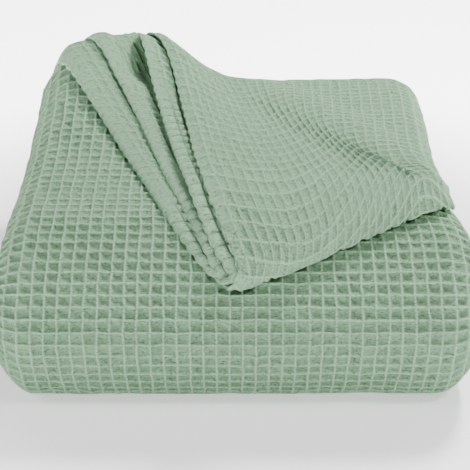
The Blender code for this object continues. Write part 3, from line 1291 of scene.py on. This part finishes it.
    def _shown(self, ply: Ply) -> np.ndarray:
        """Return the places across a lower ply, fine only near the edge that shows."""
        hidden = (self.shown_columns + 1.0, self.columns[ply.value], self.hidden_columns)
        return np.concatenate([self.weave.stations(0.0, self.shown_columns), np.linspace(*hidden)])

    def _strip_amount(self, ply: Ply, across: np.ndarray, share: np.ndarray) -> np.ndarray:
        """Return the share of the relief, less at the rolled edge and none where nothing shows.

        Args:
            ply: The ply.
            across: Cells across.
            share: Share of the way to the front fold.

        Returns:
            The share of each place.
        """
        near = ease((across + self.strip_edge[0]) / self.strip_edge[1])
        hidden = across - self.shown_columns + self.hidden_fade[0]
        far = 1.0 - ease(hidden / self.hidden_fade[1])
        return mix(self.strip_relief[ply.value], self.tip_relief, share * share) * near * far

    def _pillow(self, ply: Ply, share: np.ndarray) -> np.ndarray:
        """Return where edge cells bulge instead of sinking, as they do towards the fold."""
        return ease((share - self.pillow_from[ply.value]) / self.pillow_grow)

    def _dip(self, x: np.ndarray, share: np.ndarray) -> np.ndarray:
        """Return how far the second ply sags under the lifted edge of the third ply.

        Args:
            x: Places across.
            share: Share of the way to the front fold.

        Returns:
            The drop at each place.
        """
        aside = ease(1.0 - np.abs(x - self.hollow_x) / self.hollow_reach)
        ahead = ease(1.0 - np.abs(share - self.hollow_share) / self.hollow_spread)
        return self.hollow_dip * aside * ahead

    def _close(self, x: np.ndarray, share: np.ndarray) -> np.ndarray:
        """Return how far the second ply rises at the back, where it meets the third ply."""
        return read_table(self.close, x, 1) * ease(1.0 - share / self.close_to)

    def _lowest(self) -> ClothSheet:
        """Lay out the lowest ply, from the back to inside the front fold.

        Returns:
            The sheet, ready to build.
        """
        ply, weave = Ply.LOWEST, self.weave
        rows = self.rows[ply.value]
        along, across = weave.grid(weave.stations(0.0, rows - 0.5), self._shown(ply))
        share = along / rows
        x, roll = self._ply_grid((ply, ply), along, across, share, 0.0 * share, self.lowest_seed)
        raised = roll - self._dip(x, share) * self.lowest_dip
        return ClothSheet(
            "ply_lowest", self._points(ply, share, x, raised=raised), across, along, weave,
            flat=weave.flat(self.columns[ply.value], rows),
            amount=self._strip_amount(ply, across, share),
            pillow=self._pillow(ply, share), seed=self.lowest_seed,
        )

    def _back_grid(self, length: float, wide: float) -> tuple[np.ndarray, ...]:
        """Return the grid of a half turn that joins two plies at the back.

        Args:
            length: Cells round the turn.
            wide: Cells across it.

        Returns:
            Cells along, cells across, and the angle turned.
        """
        angles = np.radians(np.linspace(0.0, 180.0, self.turn_steps))
        columns = self.weave.stations(0.0, wide, self.weave.coarse)
        along, across = self.weave.grid(angles / math.pi * length - length, columns)
        return along, across, angles[:, None] + 0.0 * across

    def _joining_turn(self) -> ClothSheet:
        """Lay out the back turn that joins the pack's top to the lowest ply.

        Returns:
            The sheet, ready to build.
        """
        stack, weave = self.stack, self.weave
        length = math.pi / 2.0 * (stack.bundle_first + stack.solid_cloth / 2) / weave.length
        wide = float(self.columns[Ply.LOWEST.value])
        along, across, angle = self._back_grid(length, wide)
        turn = half_turn(angle)
        low, high = stack.fold_size(0), 1.0 + stack.bundle_first / stack.half_height
        left = mix(stack.left_end + self.joining_inset, self._left(0.0, Ply.LOWEST), turn)
        right = mix(stack.back_right_end - self.joining_inset, self._right(0.0, Ply.LOWEST), turn)
        y, z = stack.outline(0.0 * angle, mix(low, high, turn))
        y = y + (high - low) * stack.core_height / 2.0 * np.sin(angle)
        return ClothSheet(
            "joining_turn", stack.settle(mix(left, right, across / wide), y, z), across, along,
            weave, flat=weave.flat(wide, length), amount=self.strip_relief[0] + 0.0 * across,
            relief_rows=0.5 + 0.0 * along, seed=self.lowest_seed,
        )

    def _inner(self) -> ClothSheet:
        """Lay out the second and third plies, joined by the inner front fold.

        Returns:
            The sheet, ready to build.
        """
        weave, plies, fold = self.weave, (Ply.SECOND, Ply.THIRD), self.inner_turn_cells
        second, third = (self.rows[ply.value] for ply in plies)
        whole = second + fold + third
        along, across = weave.grid(weave.stations(0.0, whole), self._shown(Ply.SECOND))
        angle = math.pi * np.clip((along - second) / fold, 0.0, 1.0)
        turn = half_turn(angle)
        back = 1.0 - (along - second - fold) / third
        share = np.clip(np.where(along < second, along / second, back), 0.0, 1.0)
        x, roll = self._ply_grid(plies, along, across, share, turn, self.inner_seed)
        shaped = (self._close(x, share) - self._dip(x, share)) * (1.0 - turn)
        points = self._points(
            Ply.SECOND, share, x, turn, Ply.THIRD,
            outward=self.inner_bulge * np.sin(angle),
            raised=roll * mix(1.0, self.under_roll, turn) + shaped,
        )
        near = mix(*(self._strip_amount(ply, across, share) for ply in plies), turn)
        flipped = ease((along - second - fold) / self.back_turn_cells)
        flat = weave.flat(self.columns[Ply.SECOND.value], whole)
        return ClothSheet(
            "plies_second_third", points, across, along, weave,
            flat=flat, area=flat[1] * self.inner_mean_width, amount=near * mix(1.0, -1.0, flipped),
            pillow=mix(*(self._pillow(ply, share) for ply in plies), turn),
            round_rows=(True, False), seed=self.inner_seed,
        )

    def _back_turn(self) -> ClothSheet:
        """Lay out the turn that joins the third ply to the top one at the back.

        Returns:
            The sheet, ready to build.
        """
        weave, half_pitch = self.weave, self.stack.bundle_pitch / 2.0
        length = math.pi * math.sqrt((half_pitch**2 + self.back_bulge**2) / 2.0) / weave.length
        wide = float(self.columns[Ply.TOP.value])
        along, across, angle = self._back_grid(length, wide)
        turn, columns = half_turn(angle), across / wide
        left, right = (
            side(0.0, Ply.THIRD) - side(0.0, Ply.TOP) for side in (self._left, self._right)
        )
        drawn = left * (1.0 - columns) ** self.end_power + right * columns**self.end_power
        x = self._flap_paths(columns, 0.0 * columns)[0] + (1.0 - turn) * drawn
        edge = mix(self._left(0.0, Ply.THIRD), self._left(0.0, Ply.TOP), turn)
        roll = self._roll(x - edge, 0.0) * mix(self.under_roll, 1.0, turn)
        points = self._points(
            Ply.THIRD, 0.0 * x, x, turn, Ply.TOP,
            outward=-self.back_bulge * np.sin(angle),
            raised=roll + self._right_roll(columns, 0.0) * turn,
        )
        amount = self.strip_relief[Ply.TOP.value] * mix(self.edge_relief, 1.0, ease(across))
        return ClothSheet(
            "back_turn", points, across, along, weave, flat=weave.flat(wide, length),
            amount=amount, relief_rows=0.5 + 0.0 * along, seed=self.flap_seed,
        )

    def _right_roll(self, columns: np.ndarray, share: Values) -> np.ndarray:
        """Return how far the top ply's right end rolls down, most at the front fold.

        Args:
            columns: Share across the ply.
            share: Share of the way to the front fold.

        Returns:
            The drop, as a negative lift.
        """
        inside = (1.0 - columns) * self.columns[Ply.TOP.value] * self.weave.width
        away = np.clip(1.0 - inside / mix(*self.right_roll, share * share), 0.0, 1.0)
        return -mix(*self.right_drop, share * share) * away * away

    def _flap(self) -> ClothSheet:
        """Lay out the top ply, over the slanting front fold and a little way back under it.

        Returns:
            The sheet, ready to build.
        """
        ply, weave = Ply.TOP, self.weave
        rows, wide = float(self.rows[ply.value]), float(self.columns[ply.value])
        along, across = weave.grid(weave.stations(0.0, rows), weave.stations(0.0, wide))
        aside, ahead = weave.strayed(across, along, self.flap_seed)
        columns = mix(across, aside, ease(across) * ease(wide - across)) / wide
        ahead = mix(along, ahead, ease(along))
        to_fold = read_table(self.flap_rows, columns, 1)
        x, share = self._flap_paths(columns, np.minimum(ahead, to_fold))
        angle = math.pi * np.clip((ahead - to_fold) / self.fold_cells, 0.0, 1.0)
        beyond = np.maximum(ahead - to_fold - self.fold_cells, 0.0)
        fold_at = read_table(self.front_fold, x, 1) - self.fold_lean
        share = share - beyond * weave.length / fold_at
        turn = half_turn(angle)
        rim = np.clip(1.0 - columns * wide * weave.width / self.rim_reach, 0.0, 1.0)
        bulge = np.maximum(np.sin(angle), 0.0) ** self.crease
        shift = self._left(share, Ply.LOWEST) - self._left(share, ply)
        x = x + shift * (1.0 - columns) ** self.end_power * turn + self._beads(across, along)
        x = x + self.fold_skew * np.sin(angle) * ease(1.0 - columns * self.skew_reach)
        x = x + self.corner_out * turn * columns**self.corner_power
        left = self._left(share, ply) + shift * turn
        drop = (self._roll(x - left, share) + self._right_roll(columns, share)) * (1.0 - turn)
        points = self._points(
            ply, share, x, turn, Ply.LOWEST,
            outward=(self.fold_bulge - self.rim_pull * rim * rim) * bulge,
            raised=drop - self.tuck * ease(beyond),
        )
        return ClothSheet(
            "flap", points, across, along, weave, flat=weave.flat(wide, rows),
            amount=self.flap_relief * mix(self.edge_relief, 1.0, ease(across)),
            round_rows=(False, True), seed=self.flap_seed,
        )

    def _flap_paths(
        self, columns: np.ndarray, cells: np.ndarray
    ) -> tuple[np.ndarray, np.ndarray]:
        """Return where the flap's cells lie: straight from the back to the crest, then slanting.

        Args:
            columns: Share across the flap.
            cells: Cells from the back, up to the fold.

        Returns:
            The x of each place, and its share of the way to the fold.
        """
        x, share = self._plain_paths(columns, cells)
        line = np.linspace(0.0, float(self.rows[Ply.TOP.value]), self.path_steps)
        ends = []
        for side, end in ((self._left, 0.0), (self._right, 1.0)):
            end_x, end_share = self._plain_paths(0.0 * line + end, line)
            ends.append(side(share, Ply.TOP) - np.interp(share, end_share, end_x))
        left, right = (1.0 - columns) ** self.end_power, columns**self.end_power
        return x + ends[0] * left + ends[1] * right, share

    def _plain_paths(
        self, columns: np.ndarray, cells: np.ndarray
    ) -> tuple[np.ndarray, np.ndarray]:
        """Return the flap's cells before they are drawn to its edges.

        Args:
            columns: Share across the flap.
            cells: Cells from the back, up to the fold.

        Returns:
            The x of each place, and its share of the way to the fold.
        """
        stack = self.stack
        inset = self.right_insets[Ply.TOP.value]
        to_fold = read_table(self.flap_rows, columns, 1)
        back_x = mix(self.flap_left[0], stack.back_right_end - inset, columns)
        fold_x = mix(self.flap_left[1], stack.right_end(self.fold_right_y) - inset, columns)
        fold_at = read_table(self.front_fold, fold_x, 1) - self.fold_lean
        bend = (columns - self.crest_from) / (1.0 - self.crest_from)
        crest = self.crest_along * 0.5 * (bend + np.sqrt(bend * bend + self.crest_soft))
        crest = np.minimum(crest, fold_at - self.crest_clear)
        crest_x = back_x * (1.0 - self.column_draw * crest)
        crest_cells = np.minimum(crest / self.weave.length, to_fold - self.crest_cells_left)
        cells = np.minimum(cells, to_fold)
        past = self._bent(cells, crest_cells, to_fold)
        behind, ahead = np.maximum(crest_cells, self.crest_least), to_fold - crest_cells
        x_step, x_turned = (crest_x - back_x) / behind, (fold_x - crest_x) / ahead
        step, turned = crest / behind, (fold_at - crest) / ahead
        x = back_x + x_step * cells + (x_turned - x_step) * past
        distance = step * cells + (turned - step) * past
        return x, np.clip(distance / fold_at, 0.0, 1.0)

    def _bent(
        self, cells: np.ndarray, crest_cells: np.ndarray, to_fold: np.ndarray
    ) -> np.ndarray:
        """Return how far past the crest each cell lies, bending softly from none to all of it.

        Args:
            cells: Cells from the back.
            crest_cells: Cells from the back to the crest.
            to_fold: Cells from the back to the fold.

        Returns:
            The cells past the crest, exact at the back and at the fold.
        """
        start, end, here = (
            np.logaddexp(0.0, (place - crest_cells) / self.crest_bend)
            for place in (0.0, to_fold, cells)
        )
        return (here - start) * (to_fold - crest_cells) / (end - start)


# ---- Studio -----------------------------------------------------------------------------
@dataclass(frozen=True)
class Lamp:
    """A soft square studio light."""

    name: str
    place: Point
    aim: Point
    size: float
    power: float

    def build(self) -> None:
        """Add the light to the scene."""
        data = bpy.data.lights.new(self.name, "AREA")
        data.size = self.size
        data.energy = self.power
        lamp = bpy.data.objects.new(self.name, data)
        bpy.context.scene.collection.objects.link(lamp)
        lamp.location = self.place
        x, y, z = np.subtract(self.aim, self.place)
        lamp.rotation_euler = (math.atan2(math.hypot(x, y), -z), 0.0, math.atan2(-x, y))


@dataclass(frozen=True)
class Studio:
    """Pale floor, soft light and the camera."""

    camera_place: Point = (0.0, -0.805, 0.549)
    camera_pitch: float = 31.0
    focal_pixels: float = 1012.0
    picture_pixels: float = 470.0
    sensor: float = 36.0
    near_clip: float = 0.05
    sky: Colour = (1.0, 1.0, 1.0, 1.0)
    sky_strength: float = 0.07
    floor_size: float = 60.0
    floor_drop: float = 0.0004
    floor_finish: FloorFinish = field(default_factory=FloorFinish)
    lamps: tuple[Lamp, ...] = (
        Lamp("key", (0.48, 0.48, 1.12), (0.0, 0.0, 0.1), 0.24, 24.5),
        Lamp("left", (-0.80, -0.50, 0.85), (0.0, 0.0, 0.1), 0.40, 5.4),
        Lamp("front", (0.56, -0.68, 1.16), (0.0, -0.1, 0.08), 0.18, 8.5),
    )

    def build(self, stack: Stack) -> None:
        """Add the camera, the lights, the world and the floor.

        Args:
            stack: The folded stack, whose shift the camera follows.
        """
        self._camera(stack)
        world = bpy.data.worlds.new("studio")
        world.use_nodes = True
        sky = world.node_tree.nodes["Background"]
        sky.inputs["Color"].default_value = self.sky
        sky.inputs["Strength"].default_value = self.sky_strength
        bpy.context.scene.world = world
        for lamp in self.lamps:
            lamp.build()
        place = (0.0, 0.0, -self.floor_drop)
        bpy.ops.mesh.primitive_plane_add(size=self.floor_size, location=place)
        floor = bpy.context.active_object
        floor.name = "floor"
        floor.data.materials.append(self.floor_finish.material())

    def _camera(self, stack: Stack) -> None:
        """Add the camera at the photograph's viewing angle.

        Args:
            stack: The folded stack, whose shift the camera follows.
        """
        data = bpy.data.cameras.new("camera")
        data.sensor_width = self.sensor
        data.lens = self.sensor * self.focal_pixels / self.picture_pixels
        data.clip_start = self.near_clip
        camera = bpy.data.objects.new("camera", data)
        bpy.context.scene.collection.objects.link(camera)
        x, y, z = self.camera_place
        camera.location = (x + stack.shift[0], y + stack.shift[1], z)
        camera.rotation_euler = (math.radians(90.0 - self.camera_pitch), 0.0, 0.0)
        bpy.context.scene.camera = camera


def main() -> None:
    """Build the dressed blanket and its studio."""
    logging.basicConfig(level=logging.INFO, format="%(name)s: %(message)s")
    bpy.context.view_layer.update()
    stack = Stack()
    weave = Weave()
    cotton = CottonFinish().material()
    pieces = [*Pack(stack, weave).build(cotton), *Bundle(stack, weave).build(cotton)]
    for piece in pieces:
        LOG.info("%s: %d faces", piece.name, len(piece.data.polygons))
    Studio().build(stack)


if __name__ == "__main__":
    main()
